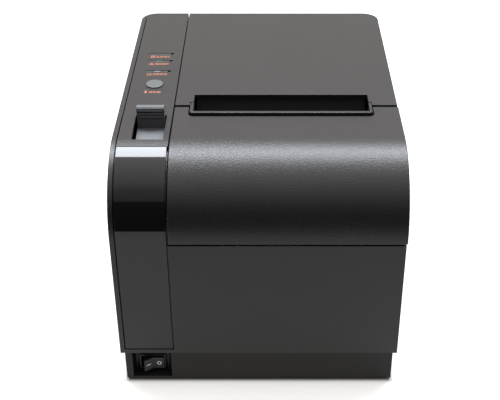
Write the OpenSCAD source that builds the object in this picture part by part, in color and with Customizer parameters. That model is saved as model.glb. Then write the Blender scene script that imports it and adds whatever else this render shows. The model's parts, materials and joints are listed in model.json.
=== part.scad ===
// Thermal receipt printer for 80 mm paper, clamshell type, with an automatic cutter.
// Millimetres. +Z is up, the front faces -Y, and the origin is on the table under the centre of the case.

/* [Case] */
// Width of the case over its left wall and the front cover's right wall
case_w = 140.7; // [139:0.1:142]
// Depth of the case without the front cover's small overhang
case_d = 185; // [184:0.5:187]
// Height of the flat top
case_top = 124.6; // [124:0.1:125]
// Wall thickness of the case, lid and front cover
wall = 2.4; // [2.2:0.1:2.5]
// Radius of the two upright rear corners
rear_corner_r = 9; // [7:0.5:10]
// Radius of the curve from the top down the front
nose_r = 35.5; // [34:0.5:36]
// Height of the plinth's top edge above the table
plinth_top = 18.6; // [18:0.1:19]
// How far the plinth stands in at each side
plinth_inset = 2.1; // [1.9:0.1:2.2]
// Height of the rubber feet below the plinth
foot_h = 1.2; // [1:0.1:1.5]

/* [Lid] */
// Height of the lid's hinge axis
hinge_z = 112; // [111.5:0.1:112.5]
// Front edge of the lid
lid_front = -24.3; // [-24.6:0.1:-24.2]
// Bottom edge of the lid's side walls
lid_skirt_z = 102; // [101.8:0.1:102.4]

/* [Front cover] */
// Radius of the front cover's curve
cover_r = 36; // [35.8:0.1:36.2]
// Bottom edge of the front cover
cover_bottom = 86.7; // [86.4:0.1:87]

/* [Paper path] */
// Middle of the paper path, right of the middle of the case
mech_x = 11.2; // [11:0.1:11.4]
// Width between the walls of the paper well
well_w = 83; // [82:0.5:83]
// Radius of the paper well
well_r = 42; // [40:0.5:42]
// Radius of the rubber platen roller
platen_r = 6.2; // [6:0.1:6.3]
// Length of the paper exit along Y, from the lid's edge to the lip
slot_l = 19.5; // [19:0.1:19.6]

/* [Gears] */
// Module of every gear and rack
gear_m = 0.8; // [0.8:0.1:0.8]
// Teeth of the platen gear
platen_teeth = 18; // [18:1:18]
// Teeth of the idler gear
idler_teeth = 36; // [36:1:36]
// Teeth of the two motor pinions and of the rack pinions
pinion_teeth = 12; // [12:1:12]
// Teeth of the cutter gear
cutter_teeth = 32; // [32:1:32]

/* [Hidden] */
$fn = 64;
EPS = 0.01;

// Case edges
case_left = -case_w / 2;
case_right = case_w / 2 - 0.4;
case_front = 0.5 - case_d / 2;
case_back = 0.5 + case_d / 2;
nose_y = case_front + nose_r;
nose_z = case_top - nose_r;
gap = 0.5;

// Control strip at the left
strip_left = case_left + wall;
strip_right = case_left + 27.3;
strip_t = 2.1;
strip_bottom = 21;
strip_gap = 0.5;
fascia_gap = 0.5;
panel_front = -64.5;
tower_wall = 1.8;
control_x = -55;
button_y = -1.4;
button_r = 4.6;
lens_y = [36.1, 27.1, 14.4];
lens_x = [-60.8, -50.2];
lens_w = 1.7;
lens_dot_x = -48.6;

// Lid and hinge
hinge_y = case_back - 10;
hinge_rod_r = 2;
hinge_barrel_r = 10;
lid_left = strip_right + gap;
slot_left = mech_x - 44.4;
slot_right = mech_x + 44.4;
slot_back = -13.1;
knuckle_x = [-30, 46];
knuckle_w = 6;

// Front cover
cover_front = case_front - 1;
cover_y = cover_front + cover_r;
cover_z = case_top - cover_r;
lid_gap = 1.9;
cover_back = lid_front - lid_gap;
cover_right = case_w / 2;
bezel_left = mech_x - 45.9;
bezel_right = mech_x + 45.6;
rim_t = 2.1;
rim_gap = 1.2;
bezel_front = slot_back - slot_l - rim_t;
bezel_top = case_top + 1.2;

// Rear ends of the rim's two arms, and the lid's notches around them
arm_end = -23.6;
notch_back = -20.9;
notch_gap = 0.35;

guide_top = 117.6;

// Mechanism
plate_in = 44.8;
plate_out = 46;
platen_y = -15.2;
platen_z = 90;
platen_half = 41.5;
shaft_r = 3;
bush_r = 4.2;
bush_slot_r = 4.4;
gear_x = mech_x + 49.4;
gear_w = 4.4;
idler_gap = 0.02;
opening_dir = [hinge_z - platen_z, hinge_y - platen_y] / norm([hinge_z - platen_z, hinge_y - platen_y]);
idler_pos = [platen_y, platen_z]
  + (gear_m * (platen_teeth + idler_teeth) / 2 + idler_gap) * [opening_dir[0], -opening_dir[1]];
pinion_dir = [-0.64, -0.768];
feed_motor_r = 14.5;
cutter_motor_r = 11.4;
pinion_pos = idler_pos + gear_m * (idler_teeth + pinion_teeth) / 2 * pinion_dir;
latch_y = -42;
latch_z = 66;
latch_r = 2.5;
cutter_pos = [-44, 95];
cutter_gear_x = mech_x + 47;
cutter_motor_pos = cutter_pos + gear_m * (cutter_teeth + pinion_teeth) / 2 * [-0.94, -0.342];
blade_z = 104.6;
rack_x = [mech_x - 38.2, mech_x + 34.2];
rack_w = 4;
head_tilt = 20;
head_gap = 0.3;
well_y = 37;
well_z = 60;
well_wall = 1.6;
board_z = 6.4;
board_t = 1.6;
switch_x = -55;
switch_z = 8.5;
switch_wall_y = -86.5;

CHARCOAL = [0.16, 0.155, 0.15];
GLOSS_BLACK = [0.02, 0.02, 0.02];
DARK_GREY = [0.25, 0.26, 0.27];
GREY = [0.55, 0.57, 0.58];
STEEL = [0.72, 0.73, 0.74];
PCB_GREEN = [0.05, 0.3, 0.14];
RUBBER = [0.06, 0.06, 0.06];
WHITE_NYLON = [0.88, 0.87, 0.83];
BRASS = [0.8, 0.65, 0.3];

// ---- Shared shapes -------------------------------------------------------------------

// Extrudes a shape drawn in (Y, Z) along X, from x0 to x1
module along_x(x0, x1) translate([x0, 0, 0]) rotate([90, 0, 90]) linear_extrude(x1 - x0) children();

// A cylinder along X at (y, z)
module rod_x(x0, x1, y, z, r) translate([x0, y, z]) rotate([0, 90, 0]) cylinder(h = x1 - x0, r = r);

// A box from its lowest corner to its highest
module block(low, high) translate(low) cube(high - low);

// The case seen from above, moved in by i
module case_plan(i = 0) {
  r = rear_corner_r - i;
  x0 = case_left + i;
  x1 = case_right - i;
  y0 = case_front + i;
  y1 = case_back - i;
  translate([x0, y0]) square([x1 - x0, y1 - r - y0]);
  translate([x0 + r, y0]) square([x1 - x0 - 2 * r, y1 - y0]);
  for (x = [x0 + r, x1 - r]) translate([x, y1 - r]) circle(r);
}

// The plinth seen from above, moved in by i
module plinth_plan(i = 0) {
  r = rear_corner_r - 2 - i;
  x0 = case_left + plinth_inset + i;
  x1 = case_right - plinth_inset - i;
  y0 = case_front + 0.5 + i;
  y1 = case_back - 1.5 - i;
  translate([x0, y0]) square([x1 - x0, y1 - r - y0]);
  translate([x0 + r, y0]) square([x1 - x0 - 2 * r, y1 - y0]);
  for (x = [x0 + r, x1 - r]) translate([x, y1 - r]) circle(r);
}

// The case seen from the right, with its rounded nose, moved in by i
module case_profile(i = 0) {
  translate([case_front + i, plinth_top]) square([nose_r - i, nose_z - plinth_top]);
  translate([nose_y, plinth_top]) square([case_back - nose_y, case_top - i - plinth_top]);
  translate([nose_y, nose_z]) circle(nose_r - i);
}

// The front cover seen from the right, moved in by i and left open at the bottom and back
module cover_profile(i = 0) intersection() {
  union() {
    translate([cover_y, cover_z]) circle(cover_r - i);
    translate([cover_y, cover_z - cover_r]) square([cover_r * 2, cover_r * 2 - i]);
    translate([cover_front + i, cover_z - cover_r]) square([cover_r - i, cover_r]);
  }
  translate([cover_front, cover_bottom - (i > 0 ? 1 : 0)])
    square([cover_back - cover_front + (i > 0 ? 1 : 0), case_top - cover_bottom + 2]);
}

// Involute gear outline. phase is the angle of one tooth's centre.
function roll_at(rb, r) = sqrt(max(r * r / (rb * rb) - 1, 0));
function half_angle(z, m, rb, roll, thin) =
  90 / z - thin / (m * z) * 180 / PI + (tan(20) - roll) * 180 / PI - 20 + atan(roll);
function gear_points(z, m, phase, thin = 0.05, steps = 4) =
  let (rp = m * z / 2, rb = rp * cos(20), tip = rp + 0.8 * m, root = rp - 1.05 * m,
       low = roll_at(rb, max(root, rb)), high = roll_at(rb, tip))
  [for (k = [0:z - 1]) let (c = phase + k * 360 / z) each concat(
    [let (a = c - half_angle(z, m, rb, low, thin)) root * [cos(a), sin(a)]],
    [for (s = [0:steps]) let (roll = low + (high - low) * s / steps, r = rb * sqrt(1 + roll * roll),
         a = c - half_angle(z, m, rb, roll, thin)) r * [cos(a), sin(a)]],
    [for (s = [steps:-1:0]) let (roll = low + (high - low) * s / steps, r = rb * sqrt(1 + roll * roll),
         a = c + half_angle(z, m, rb, roll, thin)) r * [cos(a), sin(a)]],
    [let (a = c + half_angle(z, m, rb, low, thin)) root * [cos(a), sin(a)]])];

// Phase of gear 2 that meshes with gear 1, where beta is the direction from 1 to 2
function mesh_phase(beta, z1, phase1, z2) = beta + 180 - (180 - z1 * (beta - phase1)) / z2;
function direction(from, to) = atan2(to[1] - from[1], to[0] - from[0]);

module gear(z, phase, pos, x0, w, bore) along_x(x0, x0 + w) translate(pos) difference() {
  polygon(gear_points(z, gear_m, phase));
  circle(bore, $fn = 32);
}

platen_phase = 0;
idler_phase = mesh_phase(direction([platen_y, platen_z], idler_pos), platen_teeth, platen_phase, idler_teeth);
pinion_phase = mesh_phase(direction(idler_pos, pinion_pos), idler_teeth, idler_phase, pinion_teeth);
cutter_pinion_phase = mesh_phase(direction(cutter_pos, cutter_motor_pos), cutter_teeth, 0, pinion_teeth);

// Tube along a path: rings of points joined into one polyhedron
function unit(v) = v / norm(v);
function path_dir(p, i) = unit(p[min(i + 1, len(p) - 1)] - p[max(i - 1, 0)]);
function ring(p, i, r, n) =
  let (d = path_dir(p, i), side = abs(d[2]) > 0.9 ? [1, 0, 0] : [0, 0, 1],
       u = unit(cross(d, side)), v = cross(d, u))
  [for (k = [0:n - 1]) p[i] + r * (cos(360 * k / n) * u + sin(360 * k / n) * v)];
module tube(p, r, n = 8) polyhedron(
  points = [for (i = [0:len(p) - 1]) each ring(p, i, r, n)],
  faces = concat(
    [[for (k = [n - 1:-1:0]) k]],
    [[for (k = [0:n - 1]) (len(p) - 1) * n + k]],
    [for (i = [0:len(p) - 2]) for (k = [0:n - 1])
      [i * n + k, i * n + (k + 1) % n, (i + 1) * n + (k + 1) % n, (i + 1) * n + k]]));

// Points of a helix about +Z that stands on z = 0
function helix(r, height, turns, per_turn = 16) =
  [for (i = [0:turns * per_turn]) let (a = 360 * i / per_turn)
    [r * cos(a), r * sin(a), height * i / (turns * per_turn)]];

// Ribbon of thickness t along a path in (Y, Z)
function ribbon_points(p, t) = concat(
  [for (i = [0:len(p) - 1]) let (d = path_dir(p, i)) p[i] + t / 2 * [-d[1], d[0]]],
  [for (i = [len(p) - 1:-1:0]) let (d = path_dir(p, i)) p[i] - t / 2 * [-d[1], d[0]]]);

// ---- Base ----------------------------------------------------------------------------

floor_t = 2;
foot_places = [[-52, -72], [52, -72], [-46, 74], [46, 74]];
post_places = [[-38, -83], [61, -83], [-61, 78], [61, 78]];
frame_posts = [[mech_x - 39, -45], [mech_x + 39, -45], [mech_x - 39, -13], [mech_x + 39, -13]];
board_posts = [[-56, 6], [57, 6], [-56, 66], [57, 66]];
tongue_top = 24;
pocket_front = [-65.1, -44.4];
pocket_back = [-63.5, -46.5];
pocket_floor = [2.2, 3.4];
io_half = 57;

module pocket_shape(grow = 0) polygon([
  [pocket_front[0] - grow, case_front - 1], [pocket_front[1] + grow, case_front - 1],
  [pocket_back[1] + grow, switch_wall_y + grow], [pocket_back[0] - grow, switch_wall_y + grow]]);

module base_plate() color(CHARCOAL) difference() {
  union() {
    difference() {
      translate([0, 0, foot_h]) linear_extrude(plinth_top - foot_h) plinth_plan();
      translate([0, 0, foot_h + floor_t]) linear_extrude(plinth_top) plinth_plan(wall);
    }
    translate([0, 0, plinth_top - 3]) linear_extrude(tongue_top - plinth_top + 3) difference() {
      case_plan(wall + 0.2);
      case_plan(wall + 2);
    }
    intersection() {
      translate([0, 0, foot_h]) linear_extrude(plinth_top + 1.4 - foot_h) pocket_shape(2.8);
      block([-70, case_front + 0.5, 0], [-40, -80, 30]);
    }
    for (p = post_places) translate([p[0], p[1], foot_h]) cylinder(h = tongue_top - foot_h, r = 3.8);
    for (p = frame_posts) translate([p[0], p[1], foot_h]) cylinder(h = 30 - foot_h, r = 3.5);
    for (p = board_posts) translate([p[0], p[1], foot_h]) cylinder(h = board_z - foot_h, r = 3);
  }
  intersection() {
    translate([0, 0, foot_h]) linear_extrude(plinth_top - foot_h) pocket_shape();
    along_x(-70, -40) polygon([
      [case_front - 1, pocket_floor[0]], [switch_wall_y + 1, pocket_floor[1]],
      [switch_wall_y + 1, 30], [case_front - 1, 30]]);
  }
  block([-70, case_front, plinth_top], [-40, case_front + wall + 0.2, 30]);
  translate([switch_x, switch_wall_y, switch_z]) {
    block([-7.6, -1, -4.9], [7.6, 1.3, 4.9]);
    block([-6.8, -1, -4.6], [6.8, 8, 4.6]);
  }
  block([-io_half, case_back - 6, foot_h + floor_t + 1], [io_half, case_back + 1, 30]);
  for (p = foot_places) translate([p[0], p[1], 0]) cylinder(h = foot_h + 1, r = 6.7);
  for (p = post_places) translate([p[0], p[1], 0]) {
    cylinder(h = foot_h + 3, r = 3);
    cylinder(h = tongue_top + 1, r = 1.6);
  }
  for (p = frame_posts) translate([p[0], p[1], 16]) cylinder(h = 15, r = 1.25);
}

module rubber_feet() color(RUBBER)
  for (p = foot_places) translate([p[0], p[1], 0]) cylinder(h = foot_h + 1, r = 6.5);

module pan_screw(head_r, head_h, shank_r, length) difference() {
  union() {
    cylinder(h = head_h, r = head_r, $fn = 32);
    cylinder(h = length, r = shank_r, $fn = 32);
  }
  for (a = [0, 90]) rotate(a) translate([-head_r * 0.6, -0.4, -EPS]) cube([head_r * 1.2, 0.8, 1]);
}

module base_screws() color(STEEL)
  for (p = post_places) translate([p[0], p[1], foot_h + 0.8]) pan_screw(2.7, 2.2, 1.35, 33);

// ---- Main housing and control strip ----------------------------------------------------

housing_side_z = lid_skirt_z - 0.4;
cover_gap = 1.4;
housing_front_z = cover_bottom - cover_gap;
boss_places = [[-38, -83], [61, -83], [-61, 78], [61, 78]];

module knuckle(x) difference() {
  along_x(x, x + knuckle_w) union() {
    translate([hinge_y, hinge_z]) circle(6);
    polygon([[hinge_y - 1.4, 86], [case_back - wall, 84], [case_back - wall, 99], [hinge_y + 6, hinge_z],
      [hinge_y - 6, hinge_z], [hinge_y - 1.4, 103]]);
  }
  rod_x(x - 1, x + knuckle_w + 1, hinge_y, hinge_z, hinge_rod_r);
}

// Walls of the housing right of the control strip
module housing_bay() difference() {
  intersection() {
    translate([0, 0, plinth_top]) linear_extrude(100) case_plan();
    along_x(strip_right, case_right) polygon([
      [case_front, plinth_top], [case_front, housing_front_z], [cover_back + 0.4, housing_front_z],
      [cover_back + 0.4, housing_side_z], [case_back, housing_side_z], [case_back, plinth_top]]);
  }
  translate([0, 0, plinth_top - 1]) linear_extrude(120) intersection() {
    case_plan(wall);
    translate([strip_right - 1, case_front]) square([case_w, case_d]);
  }
  // The front wall's top is thinner, so that the seam under the front cover is deep
  block([strip_right - 1, case_front + 0.9, housing_front_z - 1.5],
    [case_right - wall, case_front + wall + 1, 110]);
}

// The strip's tower: a tall box at the left whose front follows the nose
module housing_tower() difference() {
  intersection() {
    translate([0, 0, plinth_top]) linear_extrude(120) case_plan();
    along_x(case_left, strip_right) case_profile();
  }
  // Room for the panel and the glossy fascia
  intersection() {
    along_x(strip_left - 0.1, strip_right + 1) difference() {
      translate([case_front - 5, strip_bottom - 0.1]) square([case_d + 9, 130]);
      case_profile(strip_t + 0.05);
    }
    linear_extrude(200) {
      case_plan(wall);
      translate([case_left, case_front - 5]) square([40, 60]);
    }
  }
  // Inside of the tower
  intersection() {
    translate([0, 0, plinth_top - 1]) linear_extrude(120) case_plan(wall);
    along_x(strip_left, strip_right - tower_wall) intersection() {
      case_profile(strip_t + 1.6);
      translate([case_front, 0]) square([case_d, 119]);
    }
  }
  intersection() {
    translate([0, 0, 100]) linear_extrude(40) case_plan(wall + 1.2);
    along_x(strip_left + 1.2, strip_right - tower_wall)
      translate([panel_front + 4, 110]) square([case_d, 30]);
  }
  translate([0, 0, plinth_top - 1]) linear_extrude(6.8) intersection() {
    case_plan(wall);
    translate([case_left, case_front]) square([case_w, case_d]);
  }
  rod_x(strip_right - 4, strip_right + 2, latch_y, latch_z, 4.5);
  block([strip_right - 4, 20, 30], [strip_right + 2, 44, 44]);
}

module main_housing() color(CHARCOAL) difference() {
  union() {
    housing_bay();
    housing_tower();
    for (x = knuckle_x) knuckle(x);
    // Guides that the front cover slides on
    block([strip_right - 1, -60, guide_top - 2], [lid_left + 2.6, cover_back - 3, guide_top]);
    block([case_right - wall - 2.2, -78, 78], [case_right - wall + EPS, cover_back - 3, 95]);
    for (p = boss_places) translate([p[0], p[1], tongue_top + 0.2]) cylinder(h = 36, r = 3.8);
    for (x = [-38, 61]) block([x - 1, -90, tongue_top + 0.2], [x + 1, -85, 60]);
    for (x = [-61, 61]) block([x - 1, 80, tongue_top + 0.2], [x + 1, 91, 60]);
  }
  for (p = boss_places) translate([p[0], p[1], tongue_top]) cylinder(h = 16, r = 1.4);
  block([-io_half, case_back - 6, plinth_top - 1], [io_half, case_back + 1, tongue_top + 0.4]);
}

module strip_shell() intersection() {
  along_x(strip_left + strip_gap, strip_right - 0.05) difference() {
    case_profile();
    case_profile(strip_t);
  }
  linear_extrude(200) case_plan(wall + 0.1);
}

module lens_hole(y, grow = 0) linear_extrude(200) {
  translate([lens_x[0], y - lens_w / 2 - grow]) square([lens_x[1] - lens_x[0], lens_w + 2 * grow]);
  for (x = lens_x) translate([x, y]) circle(lens_w / 2 + grow, $fn = 24);
}

lever_x = [-61.1, -45.7];
lever_y = [-59.2, -35.3];
board_boss = [[-62.5, -10], [-47.5, -10], [-62.5, 43], [-47.5, 43]];

module control_panel() color(CHARCOAL) difference() {
  union() {
    intersection() {
      strip_shell();
      block([-80, panel_front + 0.1, 110], [0, 100, 140]);
    }
    // The nose starts in front of this, so the flat part reaches the fascia
    for (p = board_boss) translate([p[0], p[1], 115]) cylinder(h = case_top - strip_t - 115 + EPS, r = 2.2);
  }
  block([lever_x[0], lever_y[0], 100], [lever_x[1], lever_y[1], 140]);
  translate([control_x, button_y, 100]) cylinder(h = 40, r = button_r + 0.2);
  for (y = lens_y) translate([0, 0, 118]) {
    lens_hole(y, 0.05);
    translate([lens_dot_x, y, 0]) cylinder(h = 20, r = 0.95, $fn = 24);
  }
  for (p = board_boss) translate([p[0], p[1], 114]) cylinder(h = 6, r = 0.8);
}

module gloss_fascia() color(GLOSS_BLACK) intersection() {
  along_x(strip_left + strip_gap, strip_right - fascia_gap) difference() {
    case_profile();
    case_profile(strip_t);
  }
  block([-80, case_front - 1, strip_bottom + fascia_gap], [0, panel_front - 0.1, 140]);
}

module lens(y) color(DARK_GREY) {
  intersection() {
    lens_hole(y);
    block([-80, -80, case_top - 1.9], [0, 100, case_top - 0.2]);
  }
  block([control_x - 1.5, y - 0.6, 116.4], [control_x + 1.5, y + 0.6, case_top - 1.9 + EPS]);
}
module paper_lens() lens(lens_y[0]);
module error_lens() lens(lens_y[1]);
module power_lens() lens(lens_y[2]);

module feed_button() color(GREY) translate([control_x, button_y, 0]) {
  translate([0, 0, 121]) cylinder(h = case_top + 0.6 - 121, r = button_r);
  translate([0, 0, 120.8]) cylinder(h = 1.4, r = button_r + 1);
  translate([0, 0, 119.2]) cylinder(h = 1.7, r = 1.6);
}

module panel_board() {
  color(PCB_GREEN) difference() {
    block([-65, -13, 113.4], [-45.3, 46, 115]);
    for (p = board_boss) translate([p[0], p[1], 110]) cylinder(h = 8, r = 1.1, $fn = 24);
  }
  color(RUBBER) block([control_x - 3, button_y - 3, 115], [control_x + 3, button_y + 3, 117.4]);
  color(GREY) translate([control_x, button_y, 117.4]) cylinder(h = 0.9, r = 1.7);
  color("white") for (y = lens_y) block([control_x - 1.6, y - 0.8, 115], [control_x + 1.6, y + 0.8, 116]);
}

// ---- Lid -------------------------------------------------------------------------------

module lid_profile(i = 0) difference() {
  union() {
    translate([lid_front, lid_skirt_z - (i > 0 ? 1 : 0)])
      square([hinge_y - lid_front, case_top - i - lid_skirt_z + (i > 0 ? 1 : 0)]);
    translate([hinge_y - 1, hinge_z]) square([hinge_barrel_r - i + 1, case_top - i - hinge_z]);
    translate([hinge_y, hinge_z]) circle(hinge_barrel_r - i);
  }
}

module lid_shell() color(CHARCOAL) difference() {
  union() {
    difference() {
      intersection() {
        along_x(lid_left, case_right) lid_profile();
        translate([0, 0, 90]) linear_extrude(60) case_plan();
      }
      intersection() {
        along_x(lid_left + 2, case_right - wall) union() {
          lid_profile(wall);
          translate([lid_front - 1, lid_skirt_z - 1]) square([3, case_top - wall - lid_skirt_z + 1]);
        }
        translate([0, 0, 90]) linear_extrude(60) case_plan(wall);
      }
    }
    for (x = [-22, 40.4]) along_x(x, x + 3.6) union() {
      translate([hinge_y, hinge_z]) circle(5);
      polygon([[hinge_y - 5, hinge_z], [hinge_y + 5, hinge_z], [hinge_y + 4, case_top - 1],
        [hinge_y - 12, case_top - 1]]);
    }
    for (x = [-20:20:60]) block([x, -2, case_top - wall - 2.4], [x + 1.2, 72, case_top - wall + EPS]);
  }
  for (x = [-22, 40.4]) rod_x(x - 1, x + 4.6, hinge_y, hinge_z, hinge_rod_r + 0.05);
  for (x = knuckle_x)
    block([x - 0.5, hinge_y - 12, 90], [x + knuckle_w + 0.5, case_back + 1, case_top - wall]);
  block([slot_left, lid_front - 1, 80], [slot_right, slot_back, 140]);
  block([bezel_left - notch_gap, lid_front - 1, 80], [bezel_right + notch_gap, notch_back, 140]);
}

// Holds the platen and the fixed blade under the lid
module lid_frame() color(CHARCOAL) difference() {
  union() {
    for (s = [-1, 1]) along_x(mech_x + s * 47.8 - 0.6, mech_x + s * 47.8 + 0.6) union() {
      translate([platen_y, platen_z]) circle(6.4);
      polygon([[platen_y - 6.4, platen_z], [platen_y + 6.4, platen_z], [-5, case_top - wall],
        [-20.5, case_top - wall]]);
    }
    along_x(mech_x - 48.4, mech_x + 48.4) {
      polygon([[-16.4, 104.4], [-6, 104.4], [-6, 106.4], [-16.4, 106.4]]);
      polygon([[-8, 100.6], [-6, 100.6], [-6, case_top - wall], [-8, case_top - wall]]);
    }
    along_x(mech_x - 43.4, mech_x + 43.4) {
      polygon([[-22, 106.4], [-20.2, 106.4], [-11, case_top - wall], [-12.9, case_top - wall]]);
      polygon([[-12.8, case_top - wall - 1.6], [-6, case_top - wall - 1.6], [-6, case_top - wall],
        [-12.9, case_top - wall]]);
    }
  }
  rod_x(mech_x - 50, mech_x + 50, platen_y, platen_z, bush_r);
}

module hinge_rod() color(STEEL)
  rod_x(knuckle_x[0] - 1, knuckle_x[1] + knuckle_w + 1, hinge_y, hinge_z, hinge_rod_r);

module fixed_blade() color(STEEL) difference() {
  block([mech_x - 43, -23.2, 103.2], [mech_x + 43, -8, 104.4]);
  for (x = [-36, 0, 36]) translate([mech_x + x, -11.5, 100]) cylinder(h = 8, r = 1.3, $fn = 24);
}

module platen_bushes() color(WHITE_NYLON) for (s = [-1, 1])
  along_x(mech_x + s * 45.4 - 3.2, mech_x + s * 45.4 + 3.2) translate([platen_y, platen_z]) difference() {
    circle(bush_r);
    circle(shaft_r + 0.04);
  }

module platen_roller() color(RUBBER)
  along_x(mech_x - platen_half, mech_x + platen_half) translate([platen_y, platen_z]) difference() {
    circle(platen_r);
    circle(shaft_r);
  }

module platen_shaft() color(STEEL) rod_x(mech_x - 49.5, gear_x + gear_w + 0.4, platen_y, platen_z, shaft_r);
module platen_gear() color(WHITE_NYLON)
  gear(platen_teeth, platen_phase, [platen_y, platen_z], gear_x, gear_w, shaft_r);
module idler_gear() color(WHITE_NYLON) gear(idler_teeth, idler_phase, idler_pos, gear_x, gear_w, 1.55);
module idler_pin() color(STEEL) {
  rod_x(mech_x + plate_out, gear_x + gear_w + 1, idler_pos[0], idler_pos[1], 1.5);
  rod_x(gear_x + gear_w + 0.2, gear_x + gear_w + 1.2, idler_pos[0], idler_pos[1], 2.6);
  rod_x(mech_x + plate_out, gear_x - 0.3, idler_pos[0], idler_pos[1], 2.6);
}

motor_ear = 16.8;
module motor_can(pos, r, x0, x1, boss_r) difference() {
  union() {
    rod_x(x0, x1, pos[0], pos[1], r);
    rod_x(x1 - EPS, x1 + 1.2, pos[0], pos[1], boss_r);
    rod_x(x0 - 1.5, x0 + EPS, pos[0], pos[1], boss_r);
  }
  rod_x(x1 - 8, x1 + 2, pos[0], pos[1], 1.1);
}

module feed_motor() color(STEEL) {
  motor_can(pinion_pos, feed_motor_r, mech_x + 25, mech_x + plate_in, 5);
  along_x(mech_x + plate_in - 1.2, mech_x + plate_in) translate(pinion_pos) rotate(53) difference() {
    union() {
      for (s = [-1, 1]) translate([s * motor_ear, 0]) circle(3, $fn = 32);
      translate([-motor_ear, -3]) square([2 * motor_ear, 6]);
    }
    for (s = [-1, 1]) translate([s * motor_ear, 0]) circle(1.3, $fn = 24);
    circle(1.1, $fn = 24);
  }
}
module feed_motor_shaft() color(STEEL)
  rod_x(mech_x + plate_in - 7.5, gear_x + gear_w, pinion_pos[0], pinion_pos[1], 1);
module feed_pinion() color(BRASS) gear(pinion_teeth, pinion_phase, pinion_pos, gear_x - 0.4, gear_w + 0.4, 1);

// ---- Front cover and paper exit ----------------------------------------------------------

module front_cover() color(CHARCOAL) difference() {
  union() {
    difference() {
      along_x(lid_left, cover_right) cover_profile();
      along_x(lid_left - 1, cover_right - wall) cover_profile(wall);
    }
    block([lid_left + 1, -60, guide_top + 0.3], [lid_left + 2.6, cover_back - 3, case_top - wall + EPS]);
    block([cover_right - wall - 2.6, -60, 95.3], [cover_right - wall + EPS, cover_back - 3, 97]);
  }
  translate([0, 0, 110]) linear_extrude(30) bezel_plan(0.4, rim_gap);
}

// The U-shaped rim seen from above, grown at its sides and its front
module bezel_plan(side = 0, front = 0) {
  r = 2 + side;
  x0 = bezel_left - side;
  x1 = bezel_right + side;
  y0 = bezel_front - front;
  translate([x0, y0 + r]) square([x1 - x0, arm_end - y0 - r]);
  translate([x0 + r, y0]) square([x1 - x0 - 2 * r, r + 1]);
  for (x = [x0 + r, x1 - r]) translate([x, y0 + r]) circle(r);
}

module exit_bezel() color(CHARCOAL) difference() {
  translate([0, 0, 107.4]) linear_extrude(bezel_top - 107.4) bezel_plan();
  along_x(bezel_left + 1.9, bezel_right - 1.6) polygon([
    [slot_back - slot_l, 140], [slot_back - slot_l, 122], [-28, 107], [0, 107], [0, 140]]);
}

// ---- Paper well and frame ----------------------------------------------------------------

well_left = mech_x - well_w / 2;
well_right = mech_x + well_w / 2;
well_rim = 98;

module well_section(r) {
  translate([well_y, well_z]) circle(r);
  translate([well_y, well_z]) square([r, well_rim + 1.6 - well_z]);
}

module paper_well() color(CHARCOAL) difference() {
  union() {
    // Curved floor, from the front lip round to the back wall
    along_x(well_left - well_wall, well_right + well_wall) difference() {
      well_section(well_r + well_wall);
      well_section(well_r);
      translate([well_y - 60, 72]) square([60 + well_r / 2, 60]);
      translate([well_y - 60, well_rim + 1.6]) square([140, 60]);
    }
    // Side walls
    for (x = [well_left - well_wall, well_right]) along_x(x, x + well_wall) intersection() {
      union() {
        well_section(well_r + well_wall);
        translate([well_y - well_r, well_z]) square([well_r * 2, 60]);
      }
      translate([well_y - 60, 0]) square([140, well_rim + 1.6]);
    }
    // Rim that closes the gap to the housing
    block([lid_left - 0.3, well_y - well_r, well_rim],
      [well_left, well_y + well_r + well_wall, well_rim + 1.6]);
    block([well_right, well_y - well_r, well_rim],
      [case_right - wall - 0.2, well_y + well_r + well_wall, well_rim + 1.6]);
  }
  // Core bumps keep a small roll central: their screw holes
  for (x = [well_left - 2, well_right - 1]) rod_x(x, x + 4, well_y, well_z, 3);
}

plate_outline = [[-50, 30], [-2, 30], [-2, 97], [-27.5, 97], [-27.5, 105.9], [-62, 105.9], [-76, 100],
  [-76, 80], [-50, 62]];

module side_plate_shape() difference() {
  polygon(plate_outline);
  translate([platen_y, platen_z]) circle(bush_slot_r);
  polygon([[platen_y - bush_slot_r, platen_z], [platen_y + bush_slot_r, platen_z],
    [platen_y + 8, 98], [platen_y - 9, 98]]);
}

module mechanism_frame() color(STEEL) difference() {
  union() {
    for (x = [mech_x - plate_out, mech_x + plate_in]) along_x(x, x + 1.2) side_plate_shape();
    block([mech_x - plate_out, -50, 30], [mech_x + plate_out, -8, 31.2]);
  }
  rod_x(mech_x - 50, mech_x + 50, latch_y, latch_z, latch_r + 0.05);
  rod_x(mech_x - 50, mech_x + 50, cutter_pos[0], cutter_pos[1], 2.05);
  rod_x(mech_x + 40, mech_x + 50, pinion_pos[0], pinion_pos[1], 5.2);
  rod_x(mech_x + 40, mech_x + 50, cutter_motor_pos[0], cutter_motor_pos[1], 3.7);
  for (p = frame_posts) translate([p[0], p[1], 28]) cylinder(h = 6, r = 1.7, $fn = 32);
  block([mech_x - 24, -34, 28], [mech_x + 18, -26, 34]);
}

module frame_screws() color(STEEL) for (p = frame_posts)
  translate([p[0], p[1], 33.4]) mirror([0, 0, 1]) pan_screw(2.8, 2.2, 1.2, 14);

// ---- Latch -------------------------------------------------------------------------------

lever_mid = (lever_x[0] + lever_x[1]) / 2;
lever_half = 6.8;
plate_r = 53.6;

module lever_sector() intersection() {
  difference() {
    translate([latch_y, latch_z]) circle(plate_r);
    translate([latch_y, latch_z]) circle(plate_r - 1.6);
  }
  polygon([[latch_y, latch_z], [latch_y - 30, latch_z + 72], [latch_y + 35, latch_z + 72]]);
}

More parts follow.
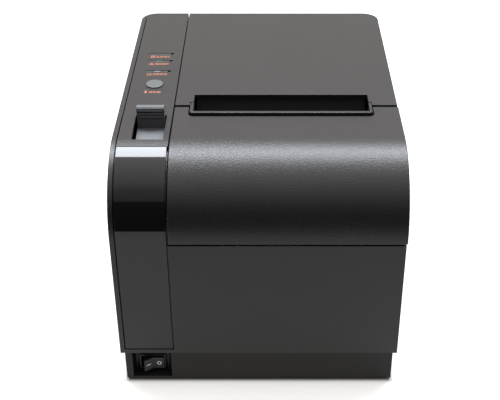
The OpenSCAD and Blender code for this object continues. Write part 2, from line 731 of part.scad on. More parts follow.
module cover_lever() color(DARK_GREY) difference() {
  union() {
    along_x(lever_mid - lever_half, lever_mid + lever_half) {
      lever_sector();
      polygon([[-39.2, 118.4], [-35.8, 118.4], [-35.7, 130.4], [-36.3, 131], [-38.7, 131], [-39.4, 130.3]]);
    }
    along_x(lever_mid - lever_half + 0.8, lever_mid + lever_half - 0.8)
      for (z = [125.8, 127.4, 129.1]) translate([-39.3, z]) circle(0.45, $fn = 16);
    along_x(lever_mid - 1.3, lever_mid + 1.3)
      polygon([[latch_y - 4, latch_z], [latch_y + 4, latch_z], [latch_y + 8, 118.2], [latch_y - 3, 118.2]]);
    rod_x(lever_mid - 3, lever_mid + 3, latch_y, latch_z, 5);
  }
  rod_x(lever_mid - 4, lever_mid + 4, latch_y, latch_z, latch_r);
}

module latch_shaft() color(STEEL) rod_x(lever_mid - 4.5, mech_x + plate_out + 2, latch_y, latch_z, latch_r);

module latch_hook(x) color(STEEL) along_x(x, x + 1.2) difference() {
  union() {
    translate([latch_y, latch_z]) circle(5);
    polygon([[latch_y - 3, latch_z + 4], [latch_y + 4.4, latch_z + 2.4], [-20.9, 80], [-20.1, 89],
      [-21.2, 94.8], [-24.6, 95], [-27.5, 84]]);
  }
  translate([latch_y, latch_z]) circle(latch_r);
}
module left_latch_hook() latch_hook(mech_x - 44.2);
module right_latch_hook() latch_hook(mech_x + 43);

module latch_spring() color(STEEL)
  translate([mech_x - 38, latch_y, latch_z]) rotate([0, 90, 0]) tube(helix(4, 8, 5), 0.45, 6);

// ---- Print head --------------------------------------------------------------------------

head_face = [platen_y, platen_z] - (platen_r + head_gap) * [cos(head_tilt), sin(head_tilt)];

// Draws in the head's own frame: +x towards the platen, +y up along the ceramic
module head_frame() translate(head_face) rotate(head_tilt) children();
pivot_in_head = [-4.5, -15];
head_pivot = head_face + [
  pivot_in_head[0] * cos(head_tilt) - pivot_in_head[1] * sin(head_tilt),
  pivot_in_head[0] * sin(head_tilt) + pivot_in_head[1] * cos(head_tilt)];

module print_head() color(WHITE_NYLON) along_x(mech_x - 41, mech_x + 41) head_frame() {
  translate([-1, -11]) square([0.8, 16]);
  translate([-0.2 - EPS, -0.6]) square([0.2, 1.2]);
}

module head_heatsink() color(STEEL) difference() {
  union() {
    along_x(mech_x - 41, mech_x + 41) head_frame() difference() {
      translate([-6.5, -12]) square([5.5, 19]);
      for (y = [-8:4:4]) translate([-7, y]) square([3, 1.6]);
    }
    for (s = [-1, 1]) along_x(mech_x + s * 39 - 2, mech_x + s * 39 + 2) head_frame() {
      translate(pivot_in_head) circle(3, $fn = 32);
      translate([-6.5, pivot_in_head[1]]) square([4, 6]);
    }
  }
  rod_x(mech_x - 45, mech_x + 45, head_pivot[0], head_pivot[1], 1.55);
}

module head_pivot_pin() color(STEEL)
  rod_x(mech_x - plate_in, mech_x + plate_in, head_pivot[0], head_pivot[1], 1.5);

module head_springs() color(STEEL) for (s = [-24, 0, 24])
  translate([mech_x + s, head_face[0], head_face[1]]) rotate([head_tilt, 0, 0])
    translate([0, -7.5, -1]) rotate([90, 0, 0]) tube(helix(2.4, 9.9, 6, 12), 0.35, 6);

module spring_bracket() color(STEEL) {
  along_x(mech_x - 42.4, mech_x + 42.4) head_frame() {
    translate([-19, -7]) square([1.2, 12]);
    translate([-19, -8.2]) square([5, 1.2]);
  }
  along_x(mech_x - plate_in, mech_x + plate_in) head_frame() translate([-19, 2]) square([1.2, 3]);
}

ribbon_path = [[-25.2, 77.4], [-23.8, 73.6], [-24, 68], [-27, 56], [-30, 42], [-30, 30], [-29.5, 20],
  [-26, 13], [-18, 10.2], [-8, 9.6], [2, 9.4]];
module head_ribbon() color(BRASS)
  along_x(mech_x - 22, mech_x + 14) polygon(ribbon_points(ribbon_path, 0.35));

// ---- Cutter ------------------------------------------------------------------------------

module cutter_frame() color(STEEL) {
  block([mech_x - 44.6, -60, 105.9], [mech_x + 44.6, -28.4, 107.4]);
  for (s = [-1, 1]) {
    block([mech_x + s * 43.6 - 1, -60, 102.6], [mech_x + s * 43.6 + 1, -28.4, 105.9 + EPS]);
    block([mech_x + s * 42.3 - 2.3, -60, 102.6], [mech_x + s * 42.3 + 2.3, -28.4, 104.3]);
  }
}

module cutter_blade() color(STEEL) difference() {
  translate([mech_x, 0, blade_z]) linear_extrude(1)
    polygon([[-42.2, -27.5], [0, -30.5], [42.2, -27.5], [42.2, -56], [-42.2, -56]]);
  for (x = [-20, 20]) translate([mech_x + x, -46, 100]) cylinder(h = 10, r = 2, $fn = 32);
}

// Rack teeth point down to the pinions
rack_pitch_z = cutter_pos[1] + gear_m * pinion_teeth / 2;
rack_pitch = PI * gear_m;
rack_half = rack_pitch / 4 - 0.05;
rack_tip = -0.8 * gear_m;
rack_root = 1.05 * gear_m;
rack_end = 4.5 * rack_pitch;
rack_profile = concat(
  [[rack_end, blade_z - rack_pitch_z], [-rack_end, blade_z - rack_pitch_z], [-rack_end, rack_root]],
  [for (k = [-4:4], p = [[-1, rack_root], [-1, rack_tip], [1, rack_tip], [1, rack_root]])
    [k * rack_pitch + p[0] * (rack_half + p[1] * tan(20)), p[1]]],
  [[rack_end, rack_root]]);
module blade_racks() color(WHITE_NYLON) for (x = rack_x) along_x(x, x + rack_w)
  translate([cutter_pos[0], rack_pitch_z]) polygon(rack_profile);

module cutter_shaft() color(STEEL)
  rod_x(mech_x - 53, cutter_gear_x + 3.4, cutter_pos[0], cutter_pos[1], 2);

module cutter_gears() color(WHITE_NYLON) {
  for (x = rack_x) gear(pinion_teeth, 90 + 180 / pinion_teeth, cutter_pos, x, rack_w, 2);
  gear(cutter_teeth, 0, cutter_pos, cutter_gear_x, 3, 2);
}

module cutter_knob() color(DARK_GREY)
  along_x(mech_x - 52.8, mech_x - 47.6) translate(cutter_pos) difference() {
    circle(9);
    circle(2);
    for (k = [0:23]) rotate(15 * k) translate([9.2, 0]) circle(0.7, $fn = 16);
  }

module cutter_motor() color(STEEL)
  motor_can(cutter_motor_pos, cutter_motor_r, mech_x + 14, mech_x + plate_in, 3.5);

module cutter_motor_pinion() color(BRASS) {
  gear(pinion_teeth, cutter_pinion_phase, cutter_motor_pos, cutter_gear_x, 3, 1);
  rod_x(mech_x + plate_in - 7.5, cutter_gear_x + 3.2, cutter_motor_pos[0], cutter_motor_pos[1], 1);
}

// ---- Electronics -------------------------------------------------------------------------

board_rear = case_back - 6.6;
port_face = case_back - 3.6;
port_z = board_z + board_t;

module main_board() color(PCB_GREEN) difference() {
  block([-60, 1, board_z], [62, board_rear, port_z]);
  for (p = board_posts) translate([p[0], p[1], 0]) cylinder(h = 20, r = 1.5, $fn = 24);
  for (p = post_places) translate([p[0], p[1], 0]) cylinder(h = 20, r = 4.4);
}

// Chips, headers and round capacitors: left, front, width, depth, height; or middle and radius
chips = [[-10, 30, 14, 14, 1.4], [22, 34, 18, 8, 1.8], [-34, 30, 8, 8, 1.2], [12, 12, 6, 5, 1.4],
  [38, 18, 10, 7, 2]];
headers = [[mech_x - 24, 2, 40, 4, 3.2], [30, 2, 12, 4, 5], [45, 2, 8, 4, 5], [-59.2, 15, 11, 4, 4.4],
  [-59.5, 23, 8, 4, 4.4]];
capacitors = [[-48, 30, 4], [-48, 42, 4], [-38, 14, 3], [57, 26, 3], [57, 36, 3]];
module on_board(c) block([c[0], c[1], port_z], [c[0] + c[2], c[1] + c[3], port_z + c[4]]);
module board_components() {
  color(RUBBER) for (c = chips) on_board(c);
  color(WHITE_NYLON) for (c = headers) on_board(c);
  color(DARK_GREY) for (c = capacitors) translate([c[0], c[1], port_z]) cylinder(h = c[2] * 1.7, r = c[2]);
  color(GREY) translate([-48, 58, port_z]) cylinder(h = 6, r = 6);
}

// Cut-outs for the sockets: middle in X, width, height, middle in Z
io_holes = [[-47, 12.6, 12.6, 14], [-27, 13.8, 13.2, 14.3], [-6, 12.6, 11.6, 13.5], [22, 31.4, 13, 14.2],
  [48, 16.6, 14, 14.7]];
module io_plate() color(STEEL) difference() {
  block([-io_half - 2, case_back - 6, foot_h + floor_t], [io_half + 2, case_back - 5, tongue_top + 0.2]);
  for (c = io_holes) translate([c[0], case_back - 5.5, c[3]]) cube([c[1], 3, c[2]], center = true);
}

// A boxy socket with its front face at port_face
module socket(x, w, z0, h, depth, hole_w, hole_z0, hole_h, hole_depth) difference() {
  block([x - w / 2, port_face - depth, z0], [x + w / 2, port_face, z0 + h]);
  block([x - hole_w / 2, port_face - hole_depth, hole_z0], [x + hole_w / 2, port_face + 1, hole_z0 + hole_h]);
}

module usb_port() {
  color(STEEL) socket(-6, 12, port_z, 11, 16, 8.8, port_z + 1.6, 7.8, 14);
  color("white") block([-6 - 2.8, port_face - 14.5, port_z + 3.9], [-6 + 2.8, port_face - 4.8, port_z + 7.1]);
}
module ethernet_port() {
  color(STEEL) socket(48, 16, port_z, 13.4, 21, 11.8, port_z + 2.2, 8.4, 14);
  color("gold") for (k = [0:7]) translate([44.3 + k * 1.02, port_face, port_z])
    block([0, -14.2, 9.8], [0.3, -4, 10.2]);
}
module drawer_port() {
  color(RUBBER) socket(-27, 13.2, port_z, 12.6, 15, 9.8, port_z + 2.4, 7.6, 11);
  color("gold") for (k = [0:5]) translate([-29.8 + k * 1.02, port_face, port_z])
    block([0, -11.2, 9.2], [0.3, -3, 9.6]);
}
module serial_port() {
  color(STEEL) block([22 - 15.4, port_face - 11, port_z], [22 + 15.4, port_face - 1.5, port_z + 12.4]);
  translate([22, port_face - 1.5, port_z + 6.3]) rotate([-90, 0, 0]) {
    color(RUBBER) translate([0, 0, -EPS]) linear_extrude(5) difference() {
      polygon([[-8.6, -4.2], [8.6, -4.2], [7.4, 4.2], [-7.4, 4.2]]);
      for (k = [0:4]) translate([-5.5 + k * 2.75, -1.4]) circle(0.55, $fn = 16);
      for (k = [0:3]) translate([-4.1 + k * 2.75, 1.4]) circle(0.55, $fn = 16);
    }
    color(STEEL) for (x = [-12.5, 12.5]) translate([x, 0, 0]) difference() {
      cylinder(h = 3, r = 2.7, $fn = 6);
      translate([0, 0, 0.5]) cylinder(h = 3, r = 1.2, $fn = 24);
    }
  }
}
module power_jack() {
  color(RUBBER) difference() {
    block([-47 - 6, port_face - 14, port_z], [-47 + 6, port_face, port_z + 12]);
    translate([-47, port_face - 11, port_z + 6.2]) rotate([-90, 0, 0]) cylinder(h = 12, r = 4.4);
  }
  color(BRASS) translate([-47, port_face - 11.2, port_z + 6.2]) rotate([-90, 0, 0])
    for (a = [30, 150, 270]) rotate(a) translate([2.4, 0, 0]) cylinder(h = 5, r = 0.7, $fn = 16);
}

// ---- Power switch ------------------------------------------------------------------------

rocker_tilt = 16;
rocker_y = switch_wall_y + 0.4;
rocker_half = 3.5;
rocker_outline = [[-5.1, -3.66], [0, -2.2], [5.1, -3.66], [4.9, -0.8], [2.4, 1.6], [-2.4, 1.6], [-4.9, -0.8]];
body_half = [6.7, 4.5];

module power_switch_body() color(RUBBER) translate([switch_x, switch_wall_y, switch_z]) difference() {
  union() {
    block([-body_half[0], -0.6, -body_half[1]], [body_half[0], 11, body_half[1]]);
    for (x = [-3.5, 3.5]) block([x - 0.4, 10.9, -1.6], [x + 0.4, 16, 1.6]);
  }
  block([-6, -1, -3.8], [6, 5.4, 3.8]);
  translate([0, rocker_y - switch_wall_y, -5]) cylinder(h = 10, r = 0.95, $fn = 32);
}

module power_rocker() color(RUBBER) translate([switch_x, rocker_y, switch_z]) rotate(rocker_tilt) {
  translate([0, 0, -rocker_half]) linear_extrude(2 * rocker_half) polygon(rocker_outline);
  translate([0, 0, -4.3]) cylinder(h = 8.6, r = 0.9, $fn = 32);
}

module switch_harness() color("firebrick") for (x = [switch_x - 3.5, switch_x + 3.5]) tube([
  [x, switch_wall_y + 16.2, switch_z], [x, -66, switch_z], [x, -58, 7], [x, -48, 5], [x, -30, 5],
  [x + 0.4, -18, 5.4], [x + 0.5, -10, 7.4], [x + 0.7, -3, 10], [x + 1, 4, 11], [x + 1.2, 15, 10.4]], 0.8, 8);

module panel_harness() color("firebrick") for (x = [-58, -56, -54]) tube([
  [x, 40, 113.4], [x, 40, 108], [x, 38, 96], [x, 30, 70], [x, 26, 45], [x, 26, 25], [x, 25.2, 17],
  [x, 25, 12.4]], 0.7, 8);

// ---- One node at a time --------------------------------------------------------------------

base_plate();
rubber_feet();
base_screws();
main_housing();
control_panel();
gloss_fascia();
paper_lens();
error_lens();
power_lens();
feed_button();
panel_board();
panel_harness();
lid_shell();
lid_frame();
hinge_rod();
fixed_blade();
platen_bushes();
platen_roller();
platen_shaft();
platen_gear();
idler_gear();
idler_pin();
feed_motor();
feed_motor_shaft();
feed_pinion();
front_cover();
exit_bezel();
paper_well();
mechanism_frame();
frame_screws();
cover_lever();
latch_shaft();
left_latch_hook();
right_latch_hook();
latch_spring();
print_head();
head_heatsink();
head_pivot_pin();
head_springs();
spring_bracket();
head_ribbon();
cutter_frame();
cutter_blade();
blade_racks();
cutter_shaft();
cutter_gears();
cutter_knob();
cutter_motor();
cutter_motor_pinion();
main_board();
board_components();
io_plate();
usb_port();
ethernet_port();
serial_port();
drawer_port();
power_jack();
power_switch_body();
power_rocker();
switch_harness();
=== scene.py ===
"""Looks of the thermal receipt printer: plastics, metals, legends, stage, lights and camera."""

import json
import math

import bmesh
import bpy
from mathutils import Matrix, Vector


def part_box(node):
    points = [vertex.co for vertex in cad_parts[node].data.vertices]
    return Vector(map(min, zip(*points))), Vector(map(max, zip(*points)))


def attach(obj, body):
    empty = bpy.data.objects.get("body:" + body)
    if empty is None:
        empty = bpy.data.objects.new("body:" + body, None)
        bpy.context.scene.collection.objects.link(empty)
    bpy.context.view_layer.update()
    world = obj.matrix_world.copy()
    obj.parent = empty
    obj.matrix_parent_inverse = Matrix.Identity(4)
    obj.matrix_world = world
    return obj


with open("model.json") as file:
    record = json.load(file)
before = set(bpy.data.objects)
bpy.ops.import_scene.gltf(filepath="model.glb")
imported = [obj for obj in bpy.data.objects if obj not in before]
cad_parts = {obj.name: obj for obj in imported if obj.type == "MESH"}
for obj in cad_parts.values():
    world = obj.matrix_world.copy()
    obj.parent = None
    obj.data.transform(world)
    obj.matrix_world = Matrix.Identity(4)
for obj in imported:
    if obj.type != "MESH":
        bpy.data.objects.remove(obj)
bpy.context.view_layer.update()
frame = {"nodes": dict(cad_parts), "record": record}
scene = bpy.context.scene
MM = 0.001
# The part of a noise texture's 0 to 1 that its values are mostly in
NOISE_SPAN = (0.3, 0.7)


# ---- Materials ---------------------------------------------------------------------------


def new_material(name, colour, roughness, metallic=0.0):
    """A Principled material and its node tree, with the uniform values set on the shader itself."""
    mat = bpy.data.materials.new(name)
    mat.use_nodes = True
    shader = mat.node_tree.nodes["Principled BSDF"]
    shader.inputs["Base Color"].default_value = (*colour, 1)
    shader.inputs["Roughness"].default_value = roughness
    shader.inputs["Metallic"].default_value = metallic
    mat.diffuse_color = (*colour, 1)
    return mat, mat.node_tree, shader


def noise(tree, scale, detail=2.0, stretch=(1, 1, 1)):
    """A noise texture in object space; scale is in features per metre."""
    coord = tree.nodes.new("ShaderNodeTexCoord")
    mapping = tree.nodes.new("ShaderNodeMapping")
    mapping.inputs["Scale"].default_value = stretch
    texture = tree.nodes.new("ShaderNodeTexNoise")
    texture.inputs["Scale"].default_value = scale
    texture.inputs["Detail"].default_value = detail
    tree.links.new(coord.outputs["Object"], mapping.inputs["Vector"])
    tree.links.new(mapping.outputs["Vector"], texture.inputs["Vector"])
    return texture.outputs["Fac"]


def bump(tree, shader, height, strength, distance):
    """Bumps the shader's normal by a height socket."""
    node = tree.nodes.new("ShaderNodeBump")
    node.inputs["Strength"].default_value = strength
    node.inputs["Distance"].default_value = distance
    tree.links.new(height, node.inputs["Height"])
    tree.links.new(node.outputs["Normal"], shader.inputs["Normal"])


def map_range(tree, source, from_min, from_max, to_min, to_max):
    """The source socket, with one range of its values mapped on to another and held at the ends."""
    node = tree.nodes.new("ShaderNodeMapRange")
    node.inputs["From Min"].default_value = from_min
    node.inputs["From Max"].default_value = from_max
    node.inputs["To Min"].default_value = to_min
    node.inputs["To Max"].default_value = to_max
    tree.links.new(source, node.inputs["Value"])
    return node.outputs["Result"]


def vary_roughness(tree, shader, source, low, high):
    """Varies the roughness from low to high by a noise socket."""
    tree.links.new(map_range(tree, source, *NOISE_SPAN, low, high), shader.inputs["Roughness"])


def tint(tree, shader, source, colour, amount):
    """Varies the base colour's brightness by plus and minus amount."""
    ramp = tree.nodes.new("ShaderNodeValToRGB")
    ramp.color_ramp.elements[0].position = NOISE_SPAN[0]
    ramp.color_ramp.elements[1].position = NOISE_SPAN[1]
    ramp.color_ramp.elements[0].color = (*[c * (1 - amount) for c in colour], 1)
    ramp.color_ramp.elements[1].color = (*[min(1, c * (1 + amount)) for c in colour], 1)
    tree.links.new(source, ramp.inputs["Fac"])
    tree.links.new(ramp.outputs["Color"], shader.inputs["Base Color"])


def set_ramp(ramp, stops, warmth=0):
    """Fills a colour ramp with greys, which turn warmer over its second half."""
    for _ in stops[2:]:
        ramp.elements.new(0.5)
    for element, (place, value) in zip(ramp.elements, stops):
        warm = warmth * min(1, max(0, (place - 0.4) / 0.3))
        element.position = place
        element.color = (value, value * (1 - warm), value * (1 - 1.3 * warm), 1)


def maths(tree, operation, first, second=0):
    """The result of a math node; each input is a socket or a number, and some operations take only one."""
    node = tree.nodes.new("ShaderNodeMath")
    node.operation = operation
    for socket, value in zip(node.inputs, (first, second)):
        if isinstance(value, (int, float)):
            socket.default_value = value
        else:
            tree.links.new(value, socket)
    return node.outputs["Value"]


def plastic(name, colour, roughness, grain=2600, depth=0.00004, vary=0.06, spec=0.5):
    """Moulded plastic with a fine spark-eroded texture: grain in features per metre, depth in metres."""
    mat, tree, shader = new_material(name, colour, roughness)
    fine = noise(tree, grain, 1.5)
    broad = noise(tree, 45, 3.0)
    tint(tree, shader, broad, colour, vary)
    vary_roughness(tree, shader, fine, roughness - 0.05, roughness + 0.07)
    bump(tree, shader, fine, 1.0, depth)
    shader.inputs["Specular IOR Level"].default_value = spec
    return mat


def metal(name, colour, roughness, stretch=(1, 1, 1), grain=900, depth=0.00001):
    """Metal with faint streaks along the direction that stretch makes small."""
    mat, tree, shader = new_material(name, colour, roughness, 1.0)
    streak = noise(tree, grain, 3.0, stretch)
    tint(tree, shader, streak, colour, 0.1)
    vary_roughness(tree, shader, streak, roughness - 0.06, roughness + 0.1)
    bump(tree, shader, streak, 0.5, depth)
    return mat


def gloss(name, colour):
    """Polished black plastic with the faintest waviness."""
    mat, tree, shader = new_material(name, colour, 0.06)
    wave = noise(tree, 60, 1.0)
    tint(tree, shader, wave, colour, 0.15)
    bump(tree, shader, wave, 0.15, 0.00002)
    shader.inputs["Specular IOR Level"].default_value = 0.4
    return mat


CHARCOAL = (0.0125, 0.0112, 0.0105)
NEAR_BLACK = (0.004, 0.004, 0.0045)
materials = {
    "charcoal_plastic": plastic("charcoal_plastic", CHARCOAL, 0.34, grain=1700, depth=0.0001, spec=0.35),
    "gloss_black_plastic": gloss("gloss_black_plastic", NEAR_BLACK),
    "grey_plastic": plastic("grey_plastic", (0.078, 0.08, 0.085), 0.45, spec=0.4),
    "button_plastic": plastic("button_plastic", (0.06, 0.067, 0.067), 0.4, depth=0.00002),
    "lens_plastic": plastic("lens_plastic", (0.03, 0.034, 0.032), 0.3, grain=900, depth=0.00001, spec=0.35),
    "black_plastic": plastic("black_plastic", (0.013, 0.013, 0.014), 0.42, depth=0.00003, spec=0.35),
    "white_nylon": plastic("white_nylon", (0.74, 0.72, 0.66), 0.4, depth=0.00001),
    "pivot_steel": metal("pivot_steel", (0.6, 0.61, 0.62), 0.24, (0.05, 1, 1)),
    "sheet_steel": metal("sheet_steel", (0.19, 0.193, 0.197), 0.55, (1, 1, 0.2)),
    "tool_steel": metal("tool_steel", (0.45, 0.46, 0.48), 0.26, (1, 0.1, 1)),
    "motor_steel": metal("motor_steel", (0.36, 0.365, 0.37), 0.4),
    "aluminium": metal("aluminium", (0.72, 0.73, 0.74), 0.35, (0.08, 1, 1)),
    "brass": metal("brass", (0.72, 0.52, 0.2), 0.28),
    "spring_steel": metal("spring_steel", (0.5, 0.5, 0.51), 0.3),
    "platen_rubber": plastic("platen_rubber", (0.02, 0.02, 0.021), 0.75, grain=3500),
    "foot_rubber": plastic("foot_rubber", (0.016, 0.016, 0.016), 0.82, grain=1800),
    "board_green": plastic("board_green", (0.01, 0.11, 0.04), 0.3, grain=1400, depth=0.00001, vary=0.18),
    "board_parts": plastic("board_parts", (0.025, 0.025, 0.027), 0.5, grain=1800),
    "ribbon_film": plastic("ribbon_film", (0.5, 0.24, 0.05), 0.3, grain=700, depth=0.00001, vary=0.12),
    "wire_jacket": plastic("wire_jacket", (0.3, 0.02, 0.015), 0.4, grain=900, depth=0.00001),
}


# ---- CAD nodes: materials and rounded edges ----------------------------------------------

slot_of = {s["node"]: s["material_slot"] for s in frame["record"]["subparts"]}
# How wide each visible node's edges are rounded, in millimetres
ROUNDED = {
    "base_plate": 0.4,
    "main_housing": 0.25,
    "control_panel": 0.15,
    "gloss_fascia": 0.15,
    "lid_shell": 0.4,
    "front_cover": 0.5,
    "exit_bezel": 0.5,
    "cover_lever": 0.35,
    "feed_button": 0.4,
    "power_switch_body": 0.25,
    "power_rocker": 0.35,
    "rubber_feet": 0.3,
    "cutter_knob": 0.2,
}


def round_edges(obj, width):
    """Joins the flats' triangles, bevels the sharp edges, width in millimetres, and shades the flats flat."""
    weld = obj.modifiers.new("weld", "WELD")
    weld.merge_threshold = 0.01 * MM
    flats = obj.modifiers.new("flats", "DECIMATE")
    flats.decimate_type = "DISSOLVE"
    flats.angle_limit = math.radians(0.2)
    bevel = obj.modifiers.new("bevel", "BEVEL")
    bevel.width = width * MM
    bevel.segments = 3
    bevel.limit_method = "ANGLE"
    bevel.angle_limit = math.radians(35)
    bevel.miter_outer = "MITER_ARC"
    shading = obj.modifiers.new("shading", "WEIGHTED_NORMAL")
    shading.keep_sharp = False


# The plinth is a shade darker and less shiny than the case, as painted shade for the dim floor by its foot
# that it reflects, and the paper guide inside the exit is near-black, matt and hardly shiny, as painted shade
# deep in the slot
plinth_painted_shade_colour = [0.75 * value for value in CHARCOAL]
special = {
    "base_plate": plastic("plinth_plastic", plinth_painted_shade_colour, 0.33, grain=1500, spec=0.22),
    "lid_frame": plastic("matt_black_plastic", NEAR_BLACK, 0.55, depth=0.00002, spec=0.1),
}

for name, obj in frame["nodes"].items():
    obj.data.materials.clear()
    obj.data.materials.append(special.get(name, materials[slot_of[name]]))
    if name in ROUNDED:
        round_edges(obj, ROUNDED[name])


# ---- Printed legends -----------------------------------------------------------------------

ink = plastic("legend_ink", (0.38, 0.125, 0.07), 0.5, grain=1500, depth=0.00001, vary=0.08)
white_ink = plastic("switch_ink", (0.75, 0.75, 0.74), 0.5, grain=1500, depth=0.00001, vary=0.05)


def flat_piece(name, polygons, material, body, matrix, thickness=0.06 * MM):
    """A thin printed piece made of outlines in its own plane, in millimetres, put in place by matrix."""
    mesh = bpy.data.meshes.new(name)
    bm = bmesh.new()
    for outline in polygons:
        low = [bm.verts.new((x * MM, y * MM, 0)) for x, y in outline]
        bottom = bm.faces.new(low)
        grown = bmesh.ops.extrude_face_region(bm, geom=[bottom])
        top = [v for v in grown["geom"] if isinstance(v, bmesh.types.BMVert)]
        bmesh.ops.translate(bm, verts=top, vec=(0, 0, thickness))
    bmesh.ops.recalc_face_normals(bm, faces=bm.faces)
    bm.to_mesh(mesh)
    bm.free()
    obj = bpy.data.objects.new(name, mesh)
    scene.collection.objects.link(obj)
    obj.matrix_world = matrix
    mesh.materials.append(material)
    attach(obj, body)
    return obj


def bar(x, y, w, h):
    """An upright rectangle, w wide and h high, round its middle."""
    return [(x - w / 2, y - h / 2), (x + w / 2, y - h / 2), (x + w / 2, y + h / 2), (x - w / 2, y + h / 2)]


def arc_band(x, y, r, t, start, stop, steps=18):
    """Outlines of an arc drawn with a pen of width t, as short pieces."""
    out = []
    for i in range(steps):
        a = math.radians(start + (stop - start) * i / steps)
        b = math.radians(start + (stop - start) * (i + 1) / steps)
        corners = [(r - t / 2, a), (r + t / 2, a), (r + t / 2, b), (r - t / 2, b)]
        out.append([(x + radius * math.cos(turn), y + radius * math.sin(turn)) for radius, turn in corners])
    return out


def sheet_mark():
    """A page with lines on it."""
    return [bar(0, 1.15, 2.2, 0.3), bar(0, -1.15, 2.2, 0.3), bar(-0.95, 0, 0.3, 2), bar(0.95, 0, 0.3, 2),
            bar(0, 0.45, 1.1, 0.28), bar(0, -0.35, 1.1, 0.28)]


def alert_mark():
    """A triangle with a stroke and a dot."""
    out = []
    corners = [(-1.4, -1.15), (1.4, -1.15), (0, 1.3)]
    for i in range(3):
        (x0, y0), (x1, y1) = corners[i], corners[(i + 1) % 3]
        d = Vector((x1 - x0, y1 - y0)).normalized() * 0.15
        n = Vector((-d.y, d.x))
        out.append([(x0 - n.x, y0 - n.y), (x1 - n.x, y1 - n.y), (x1 + n.x, y1 + n.y), (x0 + n.x, y0 + n.y)])
    return out + [bar(0, 0.05, 0.3, 0.95), bar(0, -0.72, 0.32, 0.28)]


def power_mark():
    """A ring that is open at the top, with a stroke in the opening."""
    return arc_band(0, -0.1, 1.1, 0.32, 125, 415) + [bar(0, 0.75, 0.32, 1.3)]


def feed_mark():
    """An arrow pointing to the front, over a short line."""
    return [bar(0, 0.55, 0.45, 1.3), [(-0.95, 0.05), (0, -1.15), (0.95, 0.05)], bar(0, 1.35, 2.2, 0.28)]


PEN = 0.45  # height of the dashes that stand in for words, in millimetres
LIFT = 0.00001  # how far a print's underside is above the surface that it lies on, in metres
panel_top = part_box("control_panel")[1].z
button_low, button_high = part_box("feed_button")
strip_x = (button_low.x + button_high.x) / 2
button_y = (button_low.y + button_high.y) / 2


def legend(name, y, mark, widths):
    """A pictogram with two lines of dashes of these widths at its right, as a stand-in for a word."""
    shapes = [[(px - 3.9, py) for px, py in outline] for outline in mark]
    x = -2.1
    for width in widths:
        shapes += [bar(x + width / 2, 0.6, width, PEN), bar(x + width / 2, -0.6, width * 0.96, PEN)]
        x += width + 0.3
    flat_piece(name, shapes, ink, "chassis", Matrix.Translation((strip_x, y, panel_top + LIFT)))


legends = [
    ("paper_lens", sheet_mark(), (1.5, 2.1, 1.7, 1.2)),
    ("error_lens", alert_mark(), (2.1, 1.4, 1.9, 1.1)),
    ("power_lens", power_mark(), (1.2, 2.0, 2.0, 1.5)),
]
# The indicator windows with a paler stripe in them, and its colour
lens_tints = {"error_lens": (0.06, 0.11, 0.07), "power_lens": (0.13, 0.14, 0.14)}
for lens_name, mark, widths in legends:
    low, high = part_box(lens_name)
    legend(lens_name.replace("_lens", "_legend"), (low.y + high.y) / 2 - 4.0 * MM, mark, widths)
    if lens_name in lens_tints:
        spot = plastic(lens_name + "_spot", lens_tints[lens_name], 0.35, grain=1500, depth=0.00001)
        place = Matrix.Translation((strip_x, (low.y + high.y) / 2, high.z + LIFT))
        flat_piece(lens_name + "_spot", [bar(0, 0, 3.4, 0.8)], spot, "chassis", place, 0.03 * MM)
legend("feed_legend", button_y - 9 * MM, feed_mark(), (1.8, 1.4, 2.2))


# ---- Marks on the rocker -------------------------------------------------------------------

rocker_low, rocker_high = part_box("power_rocker")
pivot = Vector((-0.055, -0.0861, (rocker_low.z + rocker_high.z) / 2))
tilt = math.radians(16)
# In millimetres: the rise and run of the face's two slopes, and how far a mark is to the side of the
# pivot and in front of it
FACE_RISE = 1.46
FACE_RUN = 5.1
MARK_X = 2.7
MARK_DEPTH = 2.975


def on_rocker(side):
    """The place of a mark on one half of the rocker's face, which stands out on both sides of its middle."""
    slope = math.atan2(FACE_RISE, FACE_RUN) * side
    turn = Matrix.Rotation(tilt, 4, "Z")
    middle = Vector((side * MARK_X * MM, -MARK_DEPTH * MM - 2 * LIFT, 0))
    face = Matrix.Translation(middle) @ Matrix.Rotation(-slope, 4, "Z")
    upright = Matrix.Rotation(math.radians(90), 4, "X")
    return Matrix.Translation(pivot) @ turn @ face @ upright


flat_piece("rocker_on_mark", [bar(0, 0, 2.3, 0.45)], white_ink, "rocker", on_rocker(-1))
flat_piece("rocker_off_mark", arc_band(0, 0, 0.95, 0.35, 0, 360, 24), white_ink, "rocker", on_rocker(1))


# ---- Stage, lights and camera --------------------------------------------------------------

FLOOR_COLOUR = (0.33, 0.328, 0.323)
floor_mat, tree, shader = new_material("floor", FLOOR_COLOUR, 0.6)
tint(tree, shader, noise(tree, 30), FLOOR_COLOUR, 0.01)
shader.inputs["Emission Color"].default_value = (1, 0.982, 0.955, 1)
# It glows a little, as painted light that brightens the floor beyond what the lamps give it, least well in
# front of the printer, as painted shade that the printer's front faces reflect
place = tree.nodes.new("ShaderNodeNewGeometry")
split = tree.nodes.new("ShaderNodeSeparateXYZ")
tree.links.new(place.outputs["Position"], split.inputs["Vector"])
painted_glow = map_range(tree, split.outputs["Y"], -0.15, -0.11, 0.3, 0.74)
# Painted contact shadow, with no glow under the printer and less close to it, where the printer keeps the
# light off:
# how far a point is from the plinth's outline, below 0 inside it
plinth_low, plinth_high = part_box("base_plate")
beyond = []
for number, axis in enumerate("XY"):
    centre = (plinth_low[number] + plinth_high[number]) / 2
    half = (plinth_high[number] - plinth_low[number]) / 2
    off_centre = maths(tree, "ABSOLUTE", maths(tree, "SUBTRACT", split.outputs[axis], centre))
    beyond.append(maths(tree, "SUBTRACT", off_centre, half))
outside = [maths(tree, "POWER", maths(tree, "MAXIMUM", value, 0), 2) for value in beyond]
inside = maths(tree, "MINIMUM", maths(tree, "MAXIMUM", *beyond), 0)
distance = maths(tree, "ADD", maths(tree, "SQRT", maths(tree, "ADD", *outside)), inside)
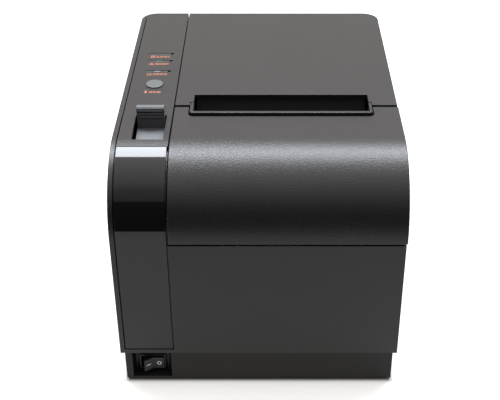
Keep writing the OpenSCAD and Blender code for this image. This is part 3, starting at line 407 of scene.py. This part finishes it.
# The painted contact shadow's ramp runs from 1 mm inside the outline to 12 mm outside it
shade = tree.nodes.new("ShaderNodeValToRGB")
shade_stops = [(0.015, 0), (0.077, 0.1), (0.123, 0.33), (0.185, 0.68), (0.31, 0.85), (0.54, 0.93), (1, 1)]
set_ramp(shade.color_ramp, shade_stops)
tree.links.new(maths(tree, "DIVIDE", maths(tree, "ADD", distance, 1 * MM), 13 * MM), shade.inputs["Fac"])
strength = maths(tree, "MULTIPLY", painted_glow, shade.outputs["Color"])
tree.links.new(strength, shader.inputs["Emission Strength"])
# The pale floor ends a little in front of the printer, where the studio is dark
FLOOR_SIZE = 8
FLOOR_FRONT = -0.34
bpy.ops.mesh.primitive_plane_add(size=FLOOR_SIZE, location=(0, FLOOR_FRONT + FLOOR_SIZE / 2, -0.3 * MM))
floor = bpy.context.object
floor.name = "floor"
floor.data.materials.append(floor_mat)


def area_light(name, location, target, width, height, power, colour):
    """A rectangular lamp at location that points at target; power is in watts."""
    data = bpy.data.lights.new(name, "AREA")
    data.shape = "RECTANGLE"
    data.size = width
    data.size_y = height
    data.energy = power
    data.color = colour
    obj = bpy.data.objects.new(name, data)
    obj.location = location
    obj.rotation_euler = (Vector(target) - Vector(location)).to_track_quat("-Z", "Y").to_euler()
    scene.collection.objects.link(obj)


area_light("key_light", (0, 0.305, 1.04), (0, -0.07, 0.11), 1.4, 0.35, 35, (0.88, 0.93, 1))

# The room: brightness by height angle, from the front (0) over the top (0.5) to the back (1)
world = bpy.data.worlds.new("studio")
scene.world = world
world.use_nodes = True
tree = world.node_tree
tree.nodes.clear()
out = tree.nodes.new("ShaderNodeOutputWorld")
background = tree.nodes.new("ShaderNodeBackground")
coord = tree.nodes.new("ShaderNodeTexCoord")
split = tree.nodes.new("ShaderNodeSeparateXYZ")
tree.links.new(coord.outputs["Generated"], split.inputs["Vector"])
angle = maths(tree, "ARCTAN2", split.outputs["Z"], maths(tree, "MULTIPLY", split.outputs["Y"], -1.0))
ramp = tree.nodes.new("ShaderNodeValToRGB")
room_stops = [
    (0.0, 0.04), (0.15, 0.05), (0.165, 0.45), (0.25, 0.6), (0.33, 1.2),
    (0.5, 2.0), (0.56, 2.25), (0.7, 1.15), (1.0, 1.0),
]
BRIGHTEST = 2.5
set_ramp(ramp.color_ramp, [(place, value / BRIGHTEST) for place, value in room_stops], 0.06)
tree.links.new(maths(tree, "DIVIDE", angle, math.pi), ramp.inputs["Fac"])
# Darker towards both sides
sideways = maths(tree, "ABSOLUTE", split.outputs["X"])
side_light = map_range(tree, sideways, 0.45, 0.85, BRIGHTEST, BRIGHTEST * 0.12)
tree.links.new(ramp.outputs["Color"], background.inputs["Color"])
tree.links.new(side_light, background.inputs["Strength"])
# Where the room itself is seen, it's a plain pale backdrop
backdrop = tree.nodes.new("ShaderNodeBackground")
backdrop.inputs["Color"].default_value = (1, 1, 1, 1)
backdrop.inputs["Strength"].default_value = 1.1
path = tree.nodes.new("ShaderNodeLightPath")
mix = tree.nodes.new("ShaderNodeMixShader")
tree.links.new(path.outputs["Is Camera Ray"], mix.inputs["Fac"])
tree.links.new(background.outputs["Background"], mix.inputs[1])
tree.links.new(backdrop.outputs["Background"], mix.inputs[2])
tree.links.new(mix.outputs["Shader"], out.inputs["Surface"])

CAMERA_PITCH = 33.26  # degrees below the horizontal
camera_data = bpy.data.cameras.new("camera")
camera_data.lens = 73.4
camera_data.sensor_width = 36
camera_data.shift_x = -0.033
camera_data.clip_start = 0.01
camera = bpy.data.objects.new("camera", camera_data)
camera.location = (0.00373, -0.4821, 0.3673)
camera.rotation_euler = (math.radians(90 - CAMERA_PITCH), 0, 0)
scene.collection.objects.link(camera)
scene.camera = camera
scene.view_settings.view_transform = "Standard"
scene.view_settings.look = "None"
